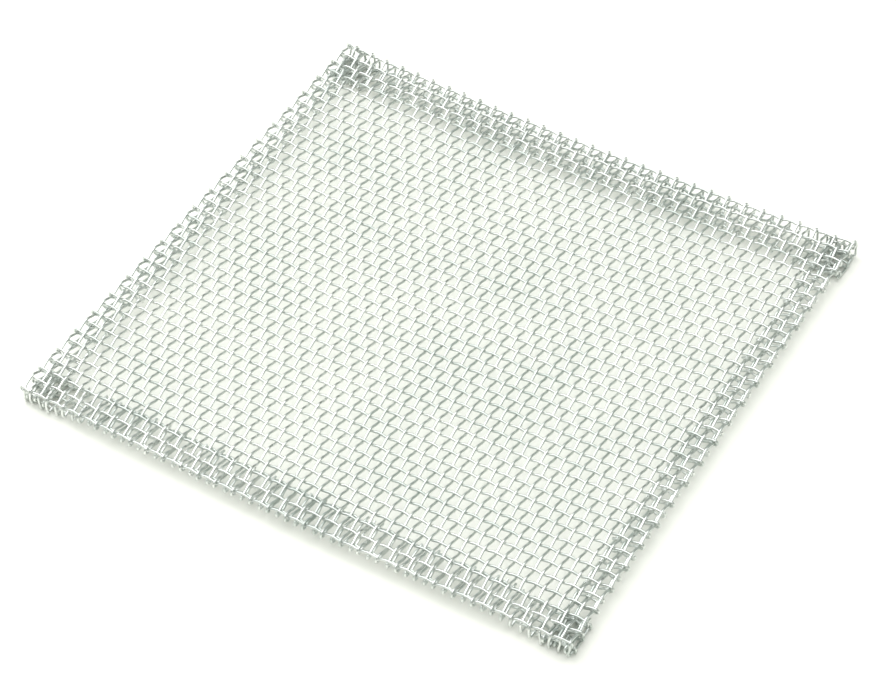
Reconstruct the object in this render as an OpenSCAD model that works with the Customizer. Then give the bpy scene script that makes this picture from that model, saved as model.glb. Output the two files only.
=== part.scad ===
// Woven wire gauze square with all four edges folded under into hems.
// Long wires run front to back (Y). Cross wires run side to side (X).

/* [Overall size] */

// Width across the side hems (mm)
width = 125; // [70:1:200]
// Depth from the front hem to the back hem (mm)
depth = 120; // [70:1:200]

/* [Wire and weave] */

// Diameter of every wire (mm)
wire_d = 0.55; // [0.4:0.01:0.68]
// Wanted spacing of the long wires, adjusted so that whole spaces fill the width (mm)
long_spacing = 2; // [1.9:0.05:3]
// Wanted spacing of the cross wires, adjusted so that whole spaces fill the depth (mm)
cross_spacing = 2.9; // [2.2:0.05:4]
// Least clearance between wires where they cross on the level (mm)
crossing_gap = 0.05; // [0.04:0.01:0.15]

/* [Hems] */

// Wires held in each folded flap
hem_wires = 3; // [2:1:4]
// Length of the snipped end past the last hem wire, as a share of the spacing
stub_share = 0.4; // [0.2:0.05:0.45]
// Clearance between one folded layer and the next (mm)
layer_gap = 0.02; // [0.02:0.01:0.2]
// Spaces over which a front or back hem drops to pass under the side hem
ramp_spaces = 5; // [5:1:7]

/* [Hidden] */

steel = [0.74, 0.76, 0.77];
facets = 24;
bend_facets = 48;

// Rounding steps that keep every printed number short enough to be exact.
fine_step = 0.001;
finest_step = 1e-9;

wire_r = wire_d / 2;
// Room that the two fold bends take up outside the woven area.
fold_room = 3.2 * wire_d;

long_count = round((width - fold_room) / long_spacing);
cross_count = round((depth - fold_room) / cross_spacing);
long_pitch = round((width - fold_room) / long_count / fine_step) * fine_step;
cross_pitch = round((depth - fold_room) / cross_count / fine_step) * fine_step;

// Share of the crossing gap that is kept where a hem wire is at its steepest.
steep_share = 0.1;

// Height of the cut where two legs of a crimped wire meet, which is more than the wire's own.
function tip_height(crimp, pitch) = wire_d * sqrt(1 + pow(2 * crimp / pitch, 2));

// Step between folded layers that clears the tips of the wires above and below.
function layer_for(crimp) =
    2 * crimp + (tip_height(crimp, long_pitch) + tip_height(crimp, cross_pitch)) / 2 + layer_gap;

// Crimp height at which sloping wires clear by a gap, one of them on a slope of its own as well.
function clear_crimp(crimp, gap, rise) =
    (gap + wire_d * sqrt(1 + pow(2 * crimp / long_pitch + rise, 2) + pow(2 * crimp / cross_pitch, 2))) / 2;

// Crimp height that clears both on the level and where a hem wire drops, found in rounds.
function settled_crimp(crimp, rounds) =
    rounds == 0 ? crimp :
    let (rise = 2 * layer_for(crimp) / (ramp_spaces * long_pitch))
    settled_crimp(
        max(clear_crimp(crimp, crossing_gap, 0), clear_crimp(crimp, steep_share * crossing_gap, rise)),
        rounds - 1
    );

crimp_rounds = 30;
crimp = ceil(settled_crimp(wire_r, crimp_rounds) / fine_step) * fine_step;

// Radius of a fold bend, just proud of the leg that meets it, whose cut end is a slightly longer oval.
joint_share = 1.01;
function leg_slope(pitch) = atan(2 * crimp / pitch);
function bend_tube(pitch) = joint_share * wire_r / cos(leg_slope(pitch));

// Step from one folded layer down to the next, kept even so that its half is exact too.
layer = 2 * ceil(layer_for(crimp) / 2 / fine_step) * fine_step;

// A bead where two plain ramp legs meet, just proud of the wire so that it closes the joint.
bead_r = 1.07 * wire_r;

// Wires from a side edge that lie over the side hem.
covered = hem_wires + 1;
woven_width = long_count * long_pitch;
woven_depth = cross_count * cross_pitch;

// Height that puts the underside of the deepest layer at zero.
lift = 3 * layer + crimp + bead_r;

cross_bands = 8;
long_bands = 12;

// +1 for even numbers and -1 for odd ones.
function turn(k) = abs(k) % 2 == 0 ? 1 : -1;

// Position of crossing k on a wire with n crossings.
function at(k, n, pitch) = (k - (n - 1) / 2) * pitch;

// Rounds every part of a vector to a step.
function rounded(v, step) = [for (c = v) round(c / step) * step];

// How many layers down the front and back hems lie at long wire i.
function depth_in_layers(i) =
    let (inward = min(i, long_count - 1 - i) - (covered - 1))
    inward <= 0 ? 3 : inward >= ramp_spaces ? 1 : 3 - 2 * inward / ramp_spaces;

// Moves in three steps, coarse to fine, so that no digits are lost on the way.
module place(v) {
    coarse = rounded(v, fine_step);
    middle = rounded(v - coarse, finest_step);
    translate(coarse)
        translate(middle)
            translate(v - coarse - middle)
                children();
}

// A wire is a list of pieces in its own upright plane, each [kind, u, z, ...], set with no grouping
// between them, so that every wire is joined in one step.
LEG = "leg";
RAMP = "ramp";
BEND = "bend";
BEAD = "bead";

// A crimped leg centred at u, z, rising or falling, kept from share a to share b of its spacing.
function leg(u, z, pitch, rising, a = -0.5, b = 0.5) = [LEG, u, z, pitch, rising, a, b];

// Crimped legs between crossings first and last, on a wire whose crossing 0 is offset by side.
function crimped_run(n, pitch, level, side, first, last) =
    [for (k = [first : 1 : last - 1]) leg(at(k + 0.5, n, pitch), level, pitch, -side * turn(k))];

// One end of a wire: out to the fold, round the bend, and back over the hem wires to a snipped end.
// The end is 1 for the far one and -1 for the near one.
function folded_end(n, pitch, level, tuck, side, end) =
    let (
        fold = end * n / 2 * pitch,
        leaving = side * turn(end > 0 ? n - 1 : 0),
        inner = end > 0 ? [-0.5, 0] : [0, 0.5],
        stub = end > 0 ? [0.5 - stub_share, 0.5] : [-0.5, stub_share - 0.5],
        first_back = end > 0 ? n - hem_wires : 0,
        stub_rising = -end * leaving * turn(hem_wires)
    )
    concat(
        [for (z = [level, tuck]) leg(fold, z, pitch, -end * leaving, inner[0], inner[1])],
        [[BEND, fold, (level + tuck) / 2, abs(level - tuck) / 2, end, bend_tube(pitch)]],
        crimped_run(n, pitch, tuck, side, first_back, first_back + hem_wires - 1),
        [leg(fold - end * hem_wires * pitch, tuck, pitch, stub_rising, stub[0], stub[1])]
    );

// A whole wire at one level, folded at both ends.
function level_wire(n, pitch, level, tuck, side) =
    concat(
        crimped_run(n, pitch, level, side, 0, n - 1),
        folded_end(n, pitch, level, tuck, side, 1),
        folded_end(n, pitch, level, tuck, side, -1)
    );

// Crossing k of a front or back hem wire, as [u, z].
function spot(k, side) =
    [at(k, long_count, long_pitch), side * turn(k) * crimp - depth_in_layers(k) * layer];

// A wire of the front or back hem: level in the middle, dropping at both ends to pass under the side hems.
function dropping_wire(side) =
    let (
        n = long_count,
        pitch = long_pitch,
        near = covered - 1,
        far = n - covered,
        starts = [near, far - ramp_spaces]
    )
    concat(
        crimped_run(n, pitch, -3 * layer, side, 0, near),
        crimped_run(n, pitch, -layer, side, near + ramp_spaces, far - ramp_spaces),
        crimped_run(n, pitch, -3 * layer, side, far, n - 1),
        [for (s = starts, k = [s : 1 : s + ramp_spaces - 1]) [RAMP, spot(k, side), spot(k + 1, side)]],
        [for (s = starts, k = [s : 1 : s + ramp_spaces]) [BEAD, spot(k, side)[0], spot(k, side)[1]]],
        folded_end(n, pitch, -3 * layer, -2 * layer, side, 1),
        folded_end(n, pitch, -3 * layer, -2 * layer, side, -1)
    );

module draw_leg(pitch, rising, a, b) {
    intersection() {
        rotate([0, 90 - rising * leg_slope(pitch), 0])
            cylinder(h = 2 * pitch, r = wire_r, center = true, $fn = facets);
        translate([(a + b) / 2 * pitch, 0, 0])
            cube([(b - a) * pitch, 2 * wire_d, 4 * (crimp + wire_d)], center = true);
    }
}

module draw_ramp(from, to) {
    step = to - from;
    rotate([0, 90 - atan2(step[1], step[0]), 0])
        cylinder(h = norm(step), r = wire_r, $fn = facets);
}

module draw_bend(bend_r, end, tube_r) {
    rotate([90, 0, 0])
        rotate_extrude(angle = 180, start = -90 * end, $fn = bend_facets)
            place([bend_r, 0])
                circle(r = tube_r, $fn = facets);
}

// Draws one piece of a wire that lies along X.
module draw(piece) {
    if (piece[0] == RAMP)
        place([piece[1][0], 0, piece[1][1]])
            draw_ramp(piece[1], piece[2]);
    else
        place([piece[1], 0, piece[2]]) {
            if (piece[0] == LEG)
                draw_leg(piece[3], piece[4], piece[5], piece[6]);
            if (piece[0] == BEND)
                draw_bend(piece[3], piece[4], piece[5]);
            if (piece[0] == BEAD)
                rotate([0, 90, 0])
                    sphere(r = bead_r, $fn = facets);
        }
}

// Sets a piece that lies along X at cross wire position j.
module at_cross(j) {
    place([0, at(j, cross_count, cross_pitch), lift])
        children();
}

// Turns a piece that lies along X to run along Y, at long wire position i.
module at_long(i) {
    place([at(i, long_count, long_pitch), 0, lift])
        rotate([0, 0, 90])
            children();
}

// First wire of a band, when count wires are shared out over a number of bands.
function band_start(band, count, bands) = floor(band * count / bands);

function band_wires(band, count, bands) =
    [for (k = [band_start(band, count, bands) : 1 : band_start(band + 1, count, bands) - 1]) k];

// The pieces of the main wires and of the hem wires.
function cross_wire(j) = level_wire(long_count, long_pitch, 0, -layer, turn(j));
function long_wire(i) = level_wire(cross_count, cross_pitch, 0, -depth_in_layers(i) * layer, -turn(i));
function side_hem_wire(i) = level_wire(cross_count, cross_pitch, -layer, -2 * layer, -turn(i));

// One band of the cross wires, counted from the front.
module cross_band(band) {
    for (j = band_wires(band, cross_count, cross_bands), piece = cross_wire(j))
        at_cross(j)
            draw(piece);
}

// One band of the long wires, counted from the left.
module long_band(band) {
    for (i = band_wires(band, long_count, long_bands), piece = long_wire(i))
        at_long(i)
            draw(piece);
}

// The cross wires of a front or back flap, which lies turned over under the edge.
module cross_hem(first) {
    for (j = [first : 1 : first + hem_wires - 1], piece = dropping_wire(turn(j)))
        at_cross(j)
            draw(piece);
}

// The long wires of a left or right flap.
module long_hem(first) {
    for (i = [first : 1 : first + hem_wires - 1], piece = side_hem_wire(i))
        at_long(i)
            draw(piece);
}

module cross_wires_1() { color(steel) cross_band(0); }
module cross_wires_2() { color(steel) cross_band(1); }
module cross_wires_3() { color(steel) cross_band(2); }
module cross_wires_4() { color(steel) cross_band(3); }
module cross_wires_5() { color(steel) cross_band(4); }
module cross_wires_6() { color(steel) cross_band(5); }
module cross_wires_7() { color(steel) cross_band(6); }
module cross_wires_8() { color(steel) cross_band(7); }
module long_wires_1() { color(steel) long_band(0); }
module long_wires_2() { color(steel) long_band(1); }
module long_wires_3() { color(steel) long_band(2); }
module long_wires_4() { color(steel) long_band(3); }
module long_wires_5() { color(steel) long_band(4); }
module long_wires_6() { color(steel) long_band(5); }
module long_wires_7() { color(steel) long_band(6); }
module long_wires_8() { color(steel) long_band(7); }
module long_wires_9() { color(steel) long_band(8); }
module long_wires_10() { color(steel) long_band(9); }
module long_wires_11() { color(steel) long_band(10); }
module long_wires_12() { color(steel) long_band(11); }

module front_hem_wires() { color(steel) cross_hem(0); }
module back_hem_wires() { color(steel) cross_hem(cross_count - hem_wires); }
module left_hem_wires() { color(steel) long_hem(0); }
module right_hem_wires() { color(steel) long_hem(long_count - hem_wires); }

cross_wires_1();
cross_wires_2();
cross_wires_3();
cross_wires_4();
cross_wires_5();
cross_wires_6();
cross_wires_7();
cross_wires_8();
long_wires_1();
long_wires_2();
long_wires_3();
long_wires_4();
long_wires_5();
long_wires_6();
long_wires_7();
long_wires_8();
long_wires_9();
long_wires_10();
long_wires_11();
long_wires_12();
front_hem_wires();
back_hem_wires();
left_hem_wires();
right_hem_wires();
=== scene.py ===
"""Looks of a woven wire gauze square: crimped wires, folded hems and a bright zinc finish."""

import logging
import math
import random
from dataclasses import dataclass, field
from enum import Enum
from typing import Any, Callable, Dict, List, Sequence, Tuple

import bpy
from mathutils import Matrix, Vector


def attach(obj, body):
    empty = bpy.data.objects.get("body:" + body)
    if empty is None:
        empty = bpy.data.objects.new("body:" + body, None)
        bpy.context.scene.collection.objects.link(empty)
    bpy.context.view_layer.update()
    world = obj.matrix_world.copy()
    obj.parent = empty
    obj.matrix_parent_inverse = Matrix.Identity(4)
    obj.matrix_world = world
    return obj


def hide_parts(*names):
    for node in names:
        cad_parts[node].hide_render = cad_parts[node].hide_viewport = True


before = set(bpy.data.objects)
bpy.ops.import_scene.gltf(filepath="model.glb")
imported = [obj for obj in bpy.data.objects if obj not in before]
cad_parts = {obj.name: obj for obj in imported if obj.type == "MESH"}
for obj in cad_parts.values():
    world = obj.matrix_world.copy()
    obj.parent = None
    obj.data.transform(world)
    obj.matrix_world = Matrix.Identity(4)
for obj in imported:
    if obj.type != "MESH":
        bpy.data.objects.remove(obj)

LOG = logging.getLogger("wire_gauze")

MM = 0.001
SEED = 41

Place = Tuple[float, float, float]
Ends = Tuple["LooseEnd", "LooseEnd"]
Colour = Tuple[float, float, float]
Span = Tuple[float, float]


class Lay(Enum):
    """Which way a wire runs across the square."""

    CROSS = "cross"
    LONG = "long"


class End(Enum):
    """One end of a wire, as the sign of its direction."""

    NEAR = -1
    FAR = 1


def turn(k: int) -> int:
    """Returns 1 for an even number and -1 for an odd one."""
    return 1 if k % 2 == 0 else -1


@dataclass(frozen=True)
class WeaveSizes:
    """Sizes of the weave and its hems, in metres.

    Attributes:
        long_count: Wires that run front to back.
        cross_count: Wires that run side to side.
        long_pitch: Spacing of the long wires.
        cross_pitch: Spacing of the cross wires.
        wire_radius: Half the wire's thickness.
        crimp: Even crimp height, from the middle line to a crown.
        cross_share: Share of the even crimp that the main cross wires take.
        long_share: Share of the even crimp that the main long wires take.
        layer: Spacing of the folded layers.
        lift: Height of the main sheet's middle.
        hem_wires: Wires in each folded-back hem.
        hem_slip: How far inwards the hem's own wires lie, as a share of the spacing.
        covered: Long wires at each side that lie over a side hem.
        ramp_spaces: Spaces over which the front and back hems drop under a side hem.
        half_width: Half the width that the warp is measured against.
        half_depth: Half the depth that the warp is measured against.
    """

    long_count: int = 62
    cross_count: int = 41
    long_pitch: float = 2.03 * MM
    cross_pitch: float = 2.95 * MM
    wire_radius: float = 0.275 * MM
    crimp: float = 0.327 * MM
    cross_share: float = 0.6
    long_share: float = 1.3
    layer: float = 1.246 * MM
    lift: float = 4.359 * MM
    hem_wires: int = 3
    hem_slip: float = 0.34
    covered: int = 4
    ramp_spaces: int = 5
    half_width: float = 62.5 * MM
    half_depth: float = 60.0 * MM

    EDGE_LAYERS = 1.0
    CORNER_LAYERS = 3.0

    def layers_down(self, wire: int) -> float:
        """Tells how many layers down the front and back hems lie at one long wire.

        Args:
            wire: Number of the long wire, counted from the left.

        Returns:
            The depth in layers, from 1 in the middle to 3 over the side hems.
        """
        inward = min(wire, self.long_count - 1 - wire) - (self.covered - 1)
        if inward <= 0:
            return self.CORNER_LAYERS
        if inward >= self.ramp_spaces:
            return self.EDGE_LAYERS
        return self.CORNER_LAYERS - (self.CORNER_LAYERS - self.EDGE_LAYERS) * inward / self.ramp_spaces


@dataclass(frozen=True)
class LooseEnd:
    """How the snipped end of a wire lies on its folded hem.

    Attributes:
        stub: Length past the last crossing, as a share of the spacing.
        lean: How far the folded-back part swings aside over its length.
    """

    stub: float
    lean: float


@dataclass
class WireLine:
    """The middle line of one wire along its own upright plane, before it is crimped.

    Attributes:
        count: Crossings on the main part of the wire.
        pitch: Spacing of the crossings.
        side: 1 if the wire lies on top at its first crossing, or -1.
        levels: Height of the middle line at each crossing.
        tuck: Height of the folded-back part at both ends.
        hem_wires: Wires that the folded-back part crosses.
        ends: How the near and the far snipped end lie.
        steps: Points to each space between crossings.
        share: How much of the even crimp height the main part of the wire takes.
        slip: How far inwards the hem's own wires lie, as a share of the spacing.
        points: Distance along, height and distance aside of each point.
        crimps: Share of the crimp height at each point.
        loose: How loosely each point is held.
    """

    count: int
    pitch: float
    side: int
    levels: List[float]
    tuck: float
    hem_wires: int
    ends: Ends
    steps: int
    share: float
    slip: float
    points: List[Place] = field(default_factory=list)
    crimps: List[float] = field(default_factory=list)
    loose: List[float] = field(default_factory=list)

    FOLD_STEPS = 7
    FOLD_REACH = 0.06
    WIDEST_FOLD = 0.68 * MM
    TUCKED_SHARE = 0.35
    EARLY_LEAN = 0.35

    def _level(self, k: float) -> float:
        """Finds the height of the middle line.

        Args:
            k: Place along the wire, in crossings.

        Returns:
            The height, between those of the crossings on both sides.
        """
        k = min(max(k, 0.0), self.count - 1.0)
        low = min(int(k), self.count - 2)
        return self.levels[low] + (self.levels[low + 1] - self.levels[low]) * (k - low)

    def _add(
        self,
        k: float,
        height: float,
        crimp: float,
        out: float = 0.0,
        aside: float = 0.0,
        loose: float = 0.0,
    ) -> None:
        """Adds one point.

        Args:
            k: Place along the wire, in crossings.
            height: Height of the middle line.
            crimp: Share of the crimp height, from -1 to 1.
            out: Extra distance along the wire.
            aside: Distance to one side of the wire's own plane.
            loose: How loosely this part is held, from 0 on the main part to 1 at the snipped tip.

        Returns:
            None.
        """
        self.points.append(((k - (self.count - 1) / 2) * self.pitch + out, height, aside))
        self.crimps.append(crimp)
        self.loose.append(loose)

    def _end(self, end: End) -> None:
        """Adds one folded end; the near one runs from its snipped tip and the far one to it.

        Args:
            end: Which end to add.

        Returns:
            None.
        """
        sign = end.value
        last = self.count - 1 if end is End.FAR else 0
        leaving = self.side * turn(last)
        tip = self.ends[1] if end is End.FAR else self.ends[0]
        level = self.levels[last]
        main_crimp = leaving * math.cos(math.pi * self.FOLD_REACH) * self.share
        flap_crimp = leaving * math.cos(math.pi * (self.FOLD_REACH + self.slip))
        radius = abs(level - self.tuck) / 2
        bulge = min(radius, self.WIDEST_FOLD) * (1.0 if leaving > 0 else self.TUCKED_SHARE)
        middle = (level + self.tuck) / 2
        drop = 1.0 if level > self.tuck else -1.0
        fold = last + sign * self.FOLD_REACH
        path: List[Tuple[float, ...]] = [(fold, level, main_crimp)]
        for step in range(1, self.FOLD_STEPS):
            angle = math.pi * step / self.FOLD_STEPS
            crimp = main_crimp + (flap_crimp - main_crimp) * step / self.FOLD_STEPS
            height = middle + drop * radius * math.cos(angle)
            aside = tip.lean * self.EARLY_LEAN * step / self.FOLD_STEPS
            path.append((fold, height, crimp, sign * bulge * math.sin(angle), aside))
        length = self.FOLD_REACH + self.slip + self.hem_wires - 1 + tip.stub
        count = int(round(length * self.steps))
        for step in range(count + 1):
            inward = step / self.steps
            crimp = leaving * math.cos(math.pi * (inward - self.FOLD_REACH - self.slip))
            share = step / count
            aside = tip.lean * (self.EARLY_LEAN + (1 - self.EARLY_LEAN) * share)
            path.append((fold - sign * inward, self.tuck, crimp, 0.0, aside, share))
        if end is End.NEAR:
            path.reverse()
        for place in path:
            self._add(*place)

    def build(self) -> "WireLine":
        """Fills in the points from the near snipped tip to the far one.

        Returns:
            The line itself.
        """
        self._end(End.NEAR)
        for step in range((self.count - 1) * self.steps + 1):
            k = step / self.steps
            self._add(k, self._level(k), self.side * math.cos(math.pi * k) * self.share)
        self._end(End.FAR)
        return self


@dataclass
class NodeMaker:
    """Adds nodes to a tree and joins them in one call each.

    Attributes:
        tree: The node tree that it adds to.
    """

    tree: Any

    def add(self, kind: str, inputs: Dict[Any, Any] | None = None, **settings: Any) -> Any:
        """Adds a node.

        Args:
            kind: The node's type name.
            inputs: Values or output sockets, by input name or number.
            settings: Properties of the node, set before its inputs.

        Returns:
            The new node.
        """
        node = self.tree.nodes.new(kind)
        for name, value in settings.items():
            setattr(node, name, value)
        for key, value in (inputs or {}).items():
            if isinstance(value, bpy.types.NodeSocket):
                self.tree.links.new(value, node.inputs[key])
            else:
                node.inputs[key].default_value = value
        return node

    def math(self, operation: str, a: Any, b: Any = 0.0) -> Any:
        """Adds a sum of two numbers and returns its output."""
        return self.add("ShaderNodeMath", {0: a, 1: b}, operation=operation).outputs[0]

    def vector(self, operation: str, a: Any, b: Any = (0.0, 0.0, 0.0)) -> Any:
        """Adds a sum of two vectors and returns its output."""
        return self.add("ShaderNodeVectorMath", {0: a, 1: b}, operation=operation).outputs[0]

    def scaled(self, a: Any, factor: Any) -> Any:
        """Adds a vector scaled by a number and returns its output."""
        return self.add("ShaderNodeVectorMath", {0: a, "Scale": factor}, operation="SCALE").outputs[0]

    def stored(self, name: str) -> Any:
        """Adds the reading of a number kept on each point and returns its output."""
        kind = "GeometryNodeInputNamedAttribute"
        return self.add(kind, {"Name": name}, data_type="FLOAT").outputs["Attribute"]


@dataclass
class WireSweep:
    """The node tree that crimps, warps and sweeps a set of wire lines.

    Attributes:
        sizes: The weave's sizes.
        sides: Flat sides to each wire.
        sag: How far the middle of the sheet sinks.
        bow: How far the middle of the sheet drifts towards the front.
        bow_gain: How much more it drifts at the back edge, and less at the front edge.
        flare: How far the left edge lies out at mid-length.
        taper: How much further out it lies at its front end, and further in at its back end.
        wander: How far each wire strays from its place.
        corner_wander: How much further it strays at the corners.
        loose_wander: How much further its folded-back parts stray.
        wander_scale: How quickly a wire strays along its length.
        tangle: How far the wires are kinked at the corners.
        tangle_scale: How close the kinks lie.
    """

    sizes: WeaveSizes
    sides: int = 8
    sag: float = 0.55 * MM
    bow: float = 1.5 * MM
    bow_gain: float = 0.4 * MM
    flare: float = 0.35 * MM
    taper: float = 0.7 * MM
    wander: float = 0.5 * MM
    corner_wander: float = 1.2 * MM
    loose_wander: float = 0.7 * MM
    wander_scale: float = 110.0
    tangle: float = 1.6 * MM
    tangle_scale: float = 330.0

    UPRIGHT_SHARE = 0.22
    LOOSE_KINKS = 0.12
    CORNER_POWER = 5.0
    WANDER_STEP = 3.7
    WANDER_DETAIL = 1.5
    TANGLE_STEP = 5.3
    TANGLE_DETAIL = 1.0
    SOCKETS = (
        ("Wire Radius", "NodeSocketFloat"),
        ("Crimp Height", "NodeSocketFloat"),
        ("Sag", "NodeSocketFloat"),
        ("Bow", "NodeSocketFloat"),
        ("Bow Gain", "NodeSocketFloat"),
        ("Flare", "NodeSocketFloat"),
        ("Taper", "NodeSocketFloat"),
        ("Wander", "NodeSocketFloat"),
        ("Corner Wander", "NodeSocketFloat"),
        ("Loose Wander", "NodeSocketFloat"),
        ("Tangle", "NodeSocketFloat"),
        ("Half Width", "NodeSocketFloat"),
        ("Half Depth", "NodeSocketFloat"),
        ("Seed", "NodeSocketFloat"),
        ("Sides", "NodeSocketInt"),
        ("Material", "NodeSocketMaterial"),
    )

    def tree(self) -> Any:
        """Builds the tree, once.

        Returns:
            The node tree, ready for a modifier.
        """
        name = "crimped_wires"
        if name in bpy.data.node_groups:
            return bpy.data.node_groups[name]
        tree = bpy.data.node_groups.new(name, "GeometryNodeTree")
        tree.is_modifier = True
        face = tree.interface
        face.new_socket(name="Geometry", in_out="INPUT", socket_type="NodeSocketGeometry")
        for label, kind in self.SOCKETS:
            face.new_socket(name=label, in_out="INPUT", socket_type=kind)
        face.new_socket(name="Geometry", in_out="OUTPUT", socket_type="NodeSocketGeometry")
        make = NodeMaker(tree)
        entry = make.add("NodeGroupInput").outputs
        moved = self._placed(make, entry)
        curve = make.add("GeometryNodeMeshToCurve", {"Mesh": moved}).outputs["Curve"]
        ring = make.add(
            "GeometryNodeCurvePrimitiveCircle",
            {"Resolution": entry["Sides"], "Radius": entry["Wire Radius"]},
        ).outputs["Curve"]
        tube = make.add(
            "GeometryNodeCurveToMesh", {"Curve": curve, "Profile Curve": ring, "Fill Caps": True}
        ).outputs["Mesh"]
        smooth = make.add("GeometryNodeSetShadeSmooth", {"Geometry": tube}).outputs["Geometry"]
        real = make.add("GeometryNodeRealizeInstances", {"Geometry": smooth}).outputs["Geometry"]
        dressed = make.add(
            "GeometryNodeSetMaterial", {"Geometry": real, "Material": entry["Material"]}
        ).outputs["Geometry"]
        make.add("NodeGroupOutput", {"Geometry": dressed})
        return tree

    def _stray(self, make: NodeMaker, entry: Any, step: float, scale: float, detail: float) -> Any:
        """Adds a noise that differs from wire to wire.

        Args:
            make: The node maker for the tree.
            entry: Outputs of the tree's input node.
            step: Distance through the noise from one wire to the next.
            scale: How quickly the noise changes along a wire.
            detail: Fineness of the noise.

        Returns:
            The socket of a vector that strays evenly about zero.
        """
        shift = make.math("MULTIPLY", make.stored("wire_number"), step)
        noise = make.add(
            "ShaderNodeTexNoise",
            {
                "Vector": make.add("GeometryNodeInputPosition").outputs[0],
                "W": make.math("ADD", shift, entry["Seed"]),
                "Scale": scale,
                "Detail": detail,
            },
            noise_dimensions="4D",
        ).outputs["Color"]
        return make.vector("SUBTRACT", noise, (0.5, 0.5, 0.5))

    def _warp(self, make: NodeMaker, entry: Any, across: Any, along: Any, dome: Any) -> Any:
        """Adds the nodes that crimp the wires and warp the whole sheet.

        Args:
            make: The node maker for the tree.
            entry: Outputs of the tree's input node.
            across: Place across the sheet, from -1 to 1.
            along: Place along the sheet, from -1 to 1.
            dome: Share of the sag, from 0 at the edges to 1 in the middle.

        Returns:
            The socket of the offset.
        """
        rise = make.math("MULTIPLY", make.stored("crimp"), entry["Crimp Height"])
        rise = make.math("SUBTRACT", rise, make.math("MULTIPLY", dome, entry["Sag"]))
        square = make.math("MINIMUM", make.math("MULTIPLY", across, across), 1.0)
        bow = make.math("ADD", entry["Bow"], make.math("MULTIPLY", along, entry["Bow Gain"]))
        drift = make.math("MULTIPLY", make.math("SUBTRACT", square, 1.0), bow)
        flare = make.math("SUBTRACT", make.math("MULTIPLY", along, entry["Taper"]), entry["Flare"])
        leftness = make.math("DIVIDE", make.math("SUBTRACT", 1.0, across), 2.0)
        spread = make.math("MULTIPLY", leftness, flare)
        return make.add("ShaderNodeCombineXYZ", {"X": spread, "Y": drift, "Z": rise}).outputs[0]

    def _placed(self, make: NodeMaker, entry: Any) -> Any:
        """Adds the nodes that crimp the lines, warp the sheet and let the wires stray.

        Args:
            make: The node maker for the tree.
            entry: Outputs of the tree's input node.

        Returns:
            The moved geometry's socket.
        """
        where = make.add("GeometryNodeInputPosition").outputs[0]
        parts = make.add("ShaderNodeSeparateXYZ", {0: where}).outputs
        across = make.math("DIVIDE", parts["X"], entry["Half Width"])
        along = make.math("DIVIDE", parts["Y"], entry["Half Depth"])
        square_x = make.math("MINIMUM", make.math("MULTIPLY", across, across), 1.0)
        square_y = make.math("MINIMUM", make.math("MULTIPLY", along, along), 1.0)
        dome = make.math(
            "MULTIPLY", make.math("SUBTRACT", 1.0, square_x), make.math("SUBTRACT", 1.0, square_y)
        )
        corner = make.math("POWER", make.math("MULTIPLY", square_x, square_y), self.CORNER_POWER)
        loose = make.stored("loose")
        reach = make.math(
            "ADD", entry["Wander"], make.math("MULTIPLY", corner, entry["Corner Wander"])
        )
        reach = make.math("ADD", reach, make.math("MULTIPLY", loose, entry["Loose Wander"]))
        upright = make.math("MULTIPLY", entry["Wander"], self.UPRIGHT_SHARE)
        reaches = make.add("ShaderNodeCombineXYZ", {"X": reach, "Y": reach, "Z": upright}).outputs[0]
        wander = self._stray(make, entry, self.WANDER_STEP, self.wander_scale, self.WANDER_DETAIL)
        kinks = self._stray(make, entry, self.TANGLE_STEP, self.tangle_scale, self.TANGLE_DETAIL)
        tangle = make.math("ADD", corner, make.math("MULTIPLY", loose, self.LOOSE_KINKS))
        tangle = make.math("MULTIPLY", tangle, entry["Tangle"])
        offset = self._warp(make, entry, across, along, dome)
        offset = make.vector("ADD", offset, make.vector("MULTIPLY", wander, reaches))
        kinked = make.scaled(make.vector("MULTIPLY", kinks, (1.0, 1.0, 0.0)), tangle)
        return make.add(
            "GeometryNodeSetPosition",
            {"Geometry": entry["Geometry"], "Offset": make.vector("ADD", offset, kinked)},
        ).outputs["Geometry"]

    def values(self, material: Any) -> Dict[str, Any]:
        """Gathers the value of each named input.

        Args:
            material: The finish that the wires take.

        Returns:
            The values, by the input's name.
        """
        return {
            "Wire Radius": self.sizes.wire_radius,
            "Crimp Height": self.sizes.crimp,
            "Sag": self.sag,
            "Bow": self.bow,
            "Bow Gain": self.bow_gain,
            "Flare": self.flare,
            "Taper": self.taper,
            "Wander": self.wander,
            "Corner Wander": self.corner_wander,
            "Loose Wander": self.loose_wander,
            "Tangle": self.tangle,
            "Half Width": self.sizes.half_width,
            "Half Depth": self.sizes.half_depth,
            "Seed": float(SEED),
            "Sides": self.sides,
            "Material": material,
        }

    def swept(self, name: str, guide: Any, material: Any) -> Any:
        """Sweeps a guide mesh into wires and returns the finished object.

        Args:
            name: Name of the finished object.
            guide: Mesh of wire lines.
            material: The finish that the wires take.

        Returns:
            A plain mesh object at the origin, with no modifier.
        """
        source = bpy.data.objects.new(name + "_guide", guide)
        bpy.context.scene.collection.objects.link(source)
        modifier = source.modifiers.new("wires", "NODES")
        modifier.node_group = self.tree()
        values = self.values(material)
        for item in modifier.node_group.interface.items_tree:
            if item.item_type == "SOCKET" and item.in_out == "INPUT" and item.name in values:
                modifier[item.identifier] = values[item.name]
        graph = bpy.context.evaluated_depsgraph_get()
        mesh = bpy.data.meshes.new_from_object(source.evaluated_get(graph), depsgraph=graph)
        mesh.name = name
        bpy.data.objects.remove(source)
        piece = bpy.data.objects.new(name, mesh)
        bpy.context.scene.collection.objects.link(piece)
        return piece


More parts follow.
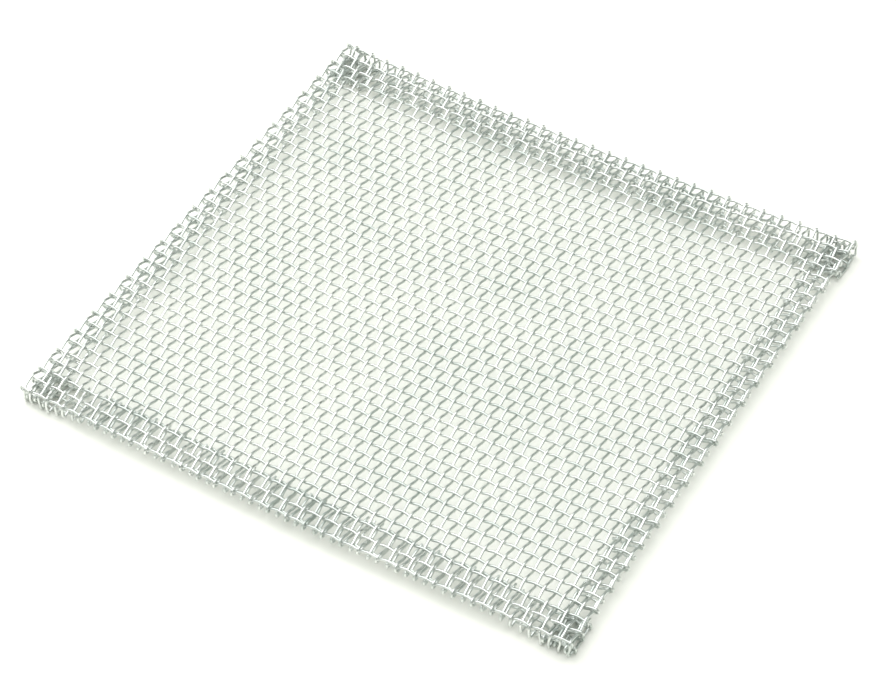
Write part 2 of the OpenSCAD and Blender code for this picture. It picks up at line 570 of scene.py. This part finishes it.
@dataclass
class WireBundle:
    """A group of neighbouring wires that share one node of the part.

    Attributes:
        node: Name of the part's node that it stands for.
        lay: Which way its wires run.
        wires: Numbers of its wires.
        line: Makes the line of one wire from its number.
        place: Gives the distance of one wire from the middle, from its number.
        lift: Height of the main sheet's middle.
        first_number: Running number of its first wire, counted over all the groups.
    """

    node: str
    lay: Lay
    wires: Sequence[int]
    line: Callable[[int], WireLine]
    place: Callable[[int], float]
    lift: float
    first_number: int = 0

    def guide(self) -> Any:
        """Builds the mesh of wire lines.

        Returns:
            The mesh, with what the sweep reads from each point.
        """
        points: List[Vector] = []
        edges: List[Tuple[int, int]] = []
        crimps: List[float] = []
        numbers: List[float] = []
        loose: List[float] = []
        for order, wire in enumerate(self.wires):
            line = self.line(wire).build()
            offset = self.place(wire)
            start = len(points)
            for u, height, aside in line.points:
                spot = (u, offset + aside) if self.lay is Lay.CROSS else (offset + aside, u)
                points.append(Vector((spot[0], spot[1], height + self.lift)))
            edges += [(k, k + 1) for k in range(start, len(points) - 1)]
            crimps += line.crimps
            loose += line.loose
            numbers += [float(self.first_number + order)] * len(line.points)
        mesh = bpy.data.meshes.new(self.node + "_guide")
        mesh.from_pydata(points, edges, [])
        for name, values in (("crimp", crimps), ("wire_number", numbers), ("loose", loose)):
            mesh.attributes.new(name, "FLOAT", "POINT").data.foreach_set("value", values)
        return mesh


@dataclass
class Gauze:
    """The whole gauze: its main wires and its hem wires, in the part's own groups.

    Attributes:
        sizes: The weave's sizes.
        sweep: What turns wire lines into wires.
        cross_bands: Groups that the main cross wires are shared among.
        long_bands: Groups that the main long wires are shared among.
        cross_steps: Points to each space along a cross wire.
        long_steps: Points to each space along a long wire.
        stub_range: Least and greatest length of a snipped end, as a share of the spacing.
        lean_range: Least and greatest swing of a folded-back part.
        hem_stray: How far a hem wire lies from its even place.
        pieces: The finished groups.
    """

    sizes: WeaveSizes
    sweep: WireSweep
    cross_bands: int = 8
    long_bands: int = 12
    cross_steps: int = 6
    long_steps: int = 8
    stub_range: Span = (0.1, 0.5)
    lean_range: Span = (-0.4 * MM, 0.8 * MM)
    hem_stray: float = 0.35 * MM
    pieces: List[Any] = field(default_factory=list)

    END_DRAWS = 1000
    CROSS_HEM_DRAWS = 2000
    LONG_HEM_DRAWS = 3000
    LONG_FIRST = 100
    END_HEM_FIRST = 200
    SIDE_HEM_FIRST = 300

    def _ends(self, draw_number: int) -> Ends:
        """Draws the two snipped ends of a wire, each a little different.

        Args:
            draw_number: The wire's number, with what sets its kind apart added.

        Returns:
            The near end and the far end.
        """
        draw = random.Random(SEED * self.END_DRAWS + draw_number)
        near, far = (
            LooseEnd(draw.uniform(*self.stub_range), draw.uniform(*self.lean_range))
            for _ in range(2)
        )
        return (near, far)

    def _across(self, wire: int, levels: List[float], tuck: float, share: float, first: int) -> WireLine:
        """Makes the line of a wire that runs side to side.

        Args:
            wire: Number of the wire.
            levels: Height of the middle line at each crossing.
            tuck: Height of the folded-back ends.
            share: Share of the even crimp height that its main part takes.
            first: What sets the draws of this kind of wire apart.

        Returns:
            The line, not yet built.
        """
        s = self.sizes
        return WireLine(
            s.long_count, s.long_pitch, turn(wire), levels, tuck, s.hem_wires,
            self._ends(first + wire), self.cross_steps, share, s.hem_slip,
        )

    def _along(self, wire: int, level: float, tuck: float, share: float, first: int) -> WireLine:
        """Makes the line of a wire that runs front to back.

        Args:
            wire: Number of the wire.
            level: Height of the middle line.
            tuck: Height of the folded-back ends.
            share: Share of the even crimp height that its main part takes.
            first: What sets the draws of this kind of wire apart.

        Returns:
            The line, not yet built.
        """
        s = self.sizes
        return WireLine(
            s.cross_count, s.cross_pitch, -turn(wire), [level] * s.cross_count, tuck, s.hem_wires,
            self._ends(first + wire), self.long_steps, share, s.hem_slip,
        )

    def _cross_line(self, wire: int) -> WireLine:
        """Returns the line of a main cross wire."""
        s = self.sizes
        return self._across(wire, [0.0] * s.long_count, -s.layer, s.cross_share, 0)

    def _long_line(self, wire: int) -> WireLine:
        """Returns the line of a main long wire."""
        s = self.sizes
        return self._along(wire, 0.0, -s.layers_down(wire) * s.layer, s.long_share, self.LONG_FIRST)

    def _end_hem_line(self, wire: int) -> WireLine:
        """Makes the line of a cross wire in the front or back hem.

        Args:
            wire: Number of the wire.

        Returns:
            The line, not yet built.
        """
        s = self.sizes
        levels = [-s.layers_down(k) * s.layer for k in range(s.long_count)]
        return self._across(wire, levels, -2 * s.layer, 1.0, self.END_HEM_FIRST)

    def _side_hem_line(self, wire: int) -> WireLine:
        """Returns the line of a long wire in the left or right hem."""
        s = self.sizes
        return self._along(wire, -s.layer, -2 * s.layer, 1.0, self.SIDE_HEM_FIRST)

    def _cross_place(self, wire: int) -> float:
        """Returns a cross wire's distance from the middle."""
        return (wire - (self.sizes.cross_count - 1) / 2) * self.sizes.cross_pitch

    def _long_place(self, wire: int) -> float:
        """Returns a long wire's distance from the middle."""
        return (wire - (self.sizes.long_count - 1) / 2) * self.sizes.long_pitch

    def _hem_offset(self, wire: int, count: int, pitch: float, draws: int) -> float:
        """Finds how far a hem wire lies from the main wire above it.

        Args:
            wire: Number of the wire.
            count: Wires that run that way on the main part.
            pitch: Spacing of those wires.
            draws: What sets the draws of this hem apart.

        Returns:
            The distance towards the middle of the sheet, with a little stray.
        """
        inwards = 1.0 if wire < count / 2 else -1.0
        draw = random.Random(SEED * draws + wire)
        return inwards * self.sizes.hem_slip * pitch + draw.uniform(-self.hem_stray, self.hem_stray)

    def _cross_hem_place(self, wire: int) -> float:
        """Finds where a cross hem wire lies.

        Args:
            wire: Number of the wire.

        Returns:
            Its distance from the middle of the sheet.
        """
        s = self.sizes
        shift = self._hem_offset(wire, s.cross_count, s.cross_pitch, self.CROSS_HEM_DRAWS)
        return self._cross_place(wire) + shift

    def _long_hem_place(self, wire: int) -> float:
        """Finds where a long hem wire lies.

        Args:
            wire: Number of the wire.

        Returns:
            Its distance from the middle of the sheet.
        """
        s = self.sizes
        shift = self._hem_offset(wire, s.long_count, s.long_pitch, self.LONG_HEM_DRAWS)
        return self._long_place(wire) + shift

    def bundles(self) -> List[WireBundle]:
        """Lists every group of wires, in the part's order.

        Returns:
            The groups, numbered on from one another.
        """
        s = self.sizes
        found: List[WireBundle] = []
        for lay, bands, count, line, place in (
            (Lay.CROSS, self.cross_bands, s.cross_count, self._cross_line, self._cross_place),
            (Lay.LONG, self.long_bands, s.long_count, self._long_line, self._long_place),
        ):
            for band in range(bands):
                wires = range(band * count // bands, (band + 1) * count // bands)
                node = f"{lay.value}_wires_{band + 1}"
                found.append(WireBundle(node, lay, wires, line, place, s.lift))
        for lay, count, line, place, sides in (
            (Lay.CROSS, s.cross_count, self._end_hem_line, self._cross_hem_place, ("front", "back")),
            (Lay.LONG, s.long_count, self._side_hem_line, self._long_hem_place, ("left", "right")),
        ):
            for side, first in zip(sides, (0, count - s.hem_wires)):
                wires = range(first, first + s.hem_wires)
                found.append(WireBundle(f"{side}_hem_wires", lay, wires, line, place, s.lift))
        number = 0
        for bundle in found:
            bundle.first_number = number
            number += len(bundle.wires)
        return found

    def build(self, materials: Dict[str, Any]) -> None:
        """Builds every group and hands it to the frame.

        Args:
            materials: The finish of the main wires and of the hem wires, by name.

        Returns:
            None.
        """
        for bundle in self.bundles():
            finish = materials["hem" if "hem" in bundle.node else "main"]
            piece = self.sweep.swept(bundle.node + "_piece", bundle.guide(), finish)
            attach(piece, "root")
            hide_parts(bundle.node)
            self.pieces.append(piece)
            faces = len(piece.data.polygons)
            LOG.info("%s: %d wires, %d faces", bundle.node, len(bundle.wires), faces)


@dataclass(frozen=True)
class ZincFinish:
    """A bright zinc coat on drawn wire, dulled in patches.

    Attributes:
        name: Name of the material.
        bright: Colour where the coat is clean.
        dull: Colour where it is clouded.
        roughness: Roughness of the clean and the clouded coat.
        clouding: Share of the surface that is clouded.
        grain: Strength of the fine surface relief.
    """

    name: str
    bright: Colour
    dull: Colour
    roughness: Span
    clouding: float
    grain: float

    GRAIN_DEPTH = 0.04 * MM
    MIX_CLEAN = 6
    MIX_DULL = 7
    MIX_COLOUR = 2

    def material(self) -> Any:
        """Builds the material.

        Returns:
            The finished material.
        """
        material = bpy.data.materials.new(self.name)
        material.use_nodes = True
        tree = material.node_tree
        tree.nodes.clear()
        make = NodeMaker(tree)
        place = make.add("ShaderNodeTexCoord").outputs["Object"]
        tone = make.add("ShaderNodeAttribute", attribute_name="wire_number").outputs["Fac"]
        bloom = make.add(
            "ShaderNodeGroup",
            {"Place": place, "Wire Number": tone, "Clouding": self.clouding},
            node_tree=zinc_bloom(),
        )
        cloud = bloom.outputs["Cloud"]
        shades = {0: cloud, self.MIX_CLEAN: (*self.bright, 1.0), self.MIX_DULL: (*self.dull, 1.0)}
        colour = make.add("ShaderNodeMix", shades, data_type="RGBA")
        low, high = self.roughness
        rough = make.add(
            "ShaderNodeMapRange", {"Value": cloud, "To Min": low, "To Max": high}
        ).outputs[0]
        bump = make.add(
            "ShaderNodeBump",
            {"Height": bloom.outputs["Grain"], "Strength": self.grain, "Distance": self.GRAIN_DEPTH},
        ).outputs[0]
        shader = make.add(
            "ShaderNodeBsdfPrincipled",
            {
                "Base Color": colour.outputs[self.MIX_COLOUR],
                "Metallic": 1.0,
                "Roughness": rough,
                "Normal": bump,
            },
        )
        make.add("ShaderNodeOutputMaterial", {"Surface": shader.outputs[0]})
        return material


BROAD_SCALE, BROAD_DETAIL, BROAD_SHARE = 60.0, 3.0, 0.5
FINE_SCALE, FINE_DETAIL, FINE_SHARE = 900.0, 2.0, 0.35
OWN_SHARE = 0.2
GRAIN_SCALE, GRAIN_DETAIL = 6000.0, 2.0
CLOUD_FROM, CLOUD_TO = 0.35, 0.7
EVEN_CLOUDING = 0.5


def zinc_bloom() -> Any:
    """Builds, once, the node group that clouds a zinc coat and gives it grain.

    Returns:
        The node group, with the cloud mask and the relief as its outputs.
    """
    name = "zinc_bloom"
    if name in bpy.data.node_groups:
        return bpy.data.node_groups[name]
    tree = bpy.data.node_groups.new(name, "ShaderNodeTree")
    face = tree.interface
    face.new_socket(name="Place", in_out="INPUT", socket_type="NodeSocketVector")
    face.new_socket(name="Wire Number", in_out="INPUT", socket_type="NodeSocketFloat")
    face.new_socket(name="Clouding", in_out="INPUT", socket_type="NodeSocketFloat")
    face.new_socket(name="Cloud", in_out="OUTPUT", socket_type="NodeSocketFloat")
    face.new_socket(name="Grain", in_out="OUTPUT", socket_type="NodeSocketFloat")
    make = NodeMaker(tree)
    entry = make.add("NodeGroupInput").outputs

    def noise(scale: float, detail: float) -> Any:
        """Adds a noise over the wire's surface and returns its output."""
        settings = {"Vector": entry["Place"], "Scale": scale, "Detail": detail}
        return make.add("ShaderNodeTexNoise", settings).outputs[0]

    own = make.add(
        "ShaderNodeTexWhiteNoise", {"W": entry["Wire Number"]}, noise_dimensions="1D"
    ).outputs["Value"]
    mixed = make.math(
        "ADD",
        make.math("MULTIPLY", noise(BROAD_SCALE, BROAD_DETAIL), BROAD_SHARE),
        make.math("MULTIPLY", noise(FINE_SCALE, FINE_DETAIL), FINE_SHARE),
    )
    mixed = make.math("ADD", mixed, make.math("MULTIPLY", own, OWN_SHARE))
    mixed = make.math("ADD", mixed, make.math("SUBTRACT", entry["Clouding"], EVEN_CLOUDING))
    cloud = make.add(
        "ShaderNodeMapRange", {"Value": mixed, "From Min": CLOUD_FROM, "From Max": CLOUD_TO}
    ).outputs[0]
    grain = noise(GRAIN_SCALE, GRAIN_DETAIL)
    make.add("NodeGroupOutput", {"Cloud": cloud, "Grain": grain})
    return tree


@dataclass(frozen=True)
class Lamp:
    """A square soft lamp that points at the middle of the gauze.

    Attributes:
        name: Name of the lamp.
        place: Where it hangs, in metres.
        size: Length of its sides, in metres.
        power: Its power, in watts.
    """

    name: str
    place: Place
    size: float
    power: float

    def hang(self) -> None:
        """Adds the lamp to the scene."""
        light = bpy.data.lights.new(self.name, "AREA")
        light.energy = self.power
        light.size = self.size
        holder = bpy.data.objects.new(self.name, light)
        holder.location = self.place
        holder.rotation_mode = "QUATERNION"
        holder.rotation_quaternion = (-Vector(self.place)).to_track_quat("-Z", "Y")
        bpy.context.scene.collection.objects.link(holder)


@dataclass(frozen=True)
class Studio:
    """Floor, lights and camera.

    Attributes:
        camera_place: Where the camera stands.
        camera_right: The picture's right-hand direction.
        camera_down: The picture's downward direction.
        camera_ahead: The direction the camera looks in.
        lens: Focal length, in millimetres.
        floor_colour: Colour of the floor.
        sky_colour: Colour of the even light from all round.
        sky_strength: Strength of that light.
        lamps: The soft lamps.
    """

    camera_place: Place = (210.303 * MM, -327.417 * MM, 419.559 * MM)
    camera_right: Place = (0.854442, 0.519003, -0.023774)
    camera_down: Place = (0.369629, -0.639409, -0.674189)
    camera_ahead: Place = (-0.365107, 0.567268, -0.738176)
    lens: float = 112.93
    floor_colour: Colour = (0.94, 0.94, 0.89)
    sky_colour: Colour = (0.80, 0.88, 0.80)
    sky_strength: float = 0.33
    lamps: Tuple[Lamp, ...] = (
        Lamp("over_lamp", (-0.06, 0.0, 0.80), 1.3, 11.7),
        Lamp("left_lamp", (-0.85, 0.10, 0.48), 0.6, 3.5),
    )

    FLOOR_HALF = 1.5
    FLOOR_ROUGHNESS = 0.9
    FLOOR_SHEEN = 0.1
    FILM_WIDTH = 36.0
    NEAREST = 0.01
    FARTHEST = 20.0

    def floor(self) -> None:
        """Lays a wide pale floor under the gauze."""
        half = self.FLOOR_HALF
        corners = [(-half, -half, 0), (half, -half, 0), (half, half, 0), (-half, half, 0)]
        mesh = bpy.data.meshes.new("floor")
        mesh.from_pydata(corners, [], [(0, 1, 2, 3)])
        floor = bpy.data.objects.new("floor", mesh)
        bpy.context.scene.collection.objects.link(floor)
        material = bpy.data.materials.new("pale_floor")
        material.use_nodes = True
        shader = material.node_tree.nodes["Principled BSDF"]
        shader.inputs["Base Color"].default_value = (*self.floor_colour, 1.0)
        shader.inputs["Roughness"].default_value = self.FLOOR_ROUGHNESS
        shader.inputs["Specular IOR Level"].default_value = self.FLOOR_SHEEN
        mesh.materials.append(material)

    def lights(self) -> None:
        """Hangs the soft lamps and sets the even light from all round."""
        world = bpy.data.worlds.new("studio")
        world.use_nodes = True
        back = world.node_tree.nodes["Background"]
        back.inputs["Color"].default_value = (*self.sky_colour, 1.0)
        back.inputs["Strength"].default_value = self.sky_strength
        bpy.context.scene.world = world
        for lamp in self.lamps:
            lamp.hang()

    def camera(self) -> None:
        """Sets up the camera."""
        data = bpy.data.cameras.new("camera")
        data.lens = self.lens
        data.sensor_width = self.FILM_WIDTH
        data.clip_start = self.NEAREST
        data.clip_end = self.FARTHEST
        holder = bpy.data.objects.new("camera", data)
        axes = (Vector(self.camera_right), -Vector(self.camera_down), -Vector(self.camera_ahead))
        turned = Matrix([[axes[c][r] for c in range(3)] for r in range(3)]).to_4x4()
        holder.matrix_world = Matrix.Translation(Vector(self.camera_place)) @ turned
        bpy.context.scene.collection.objects.link(holder)
        bpy.context.scene.camera = holder

    def build(self) -> None:
        """Sets the whole stage."""
        self.floor()
        self.lights()
        self.camera()
        bpy.context.scene.view_settings.view_transform = "Standard"
        LOG.info("stage set")


BRIGHT_ZINC = ZincFinish(
    "bright_zinc", (0.80, 0.82, 0.80), (0.56, 0.61, 0.58), (0.26, 0.5), clouding=0.45, grain=0.3
)
WORKED_ZINC = ZincFinish(
    "worked_zinc", (0.80, 0.83, 0.80), (0.54, 0.59, 0.56), (0.3, 0.55), clouding=0.5, grain=0.5
)


def main() -> None:
    """Builds the gauze and its stage."""
    logging.basicConfig(level=logging.INFO, format="%(name)s: %(message)s")
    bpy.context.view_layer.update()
    sizes = WeaveSizes()
    gauze = Gauze(sizes, WireSweep(sizes))
    gauze.build({"main": BRIGHT_ZINC.material(), "hem": WORKED_ZINC.material()})
    Studio().build()


if __name__ == "__main__":
    main()
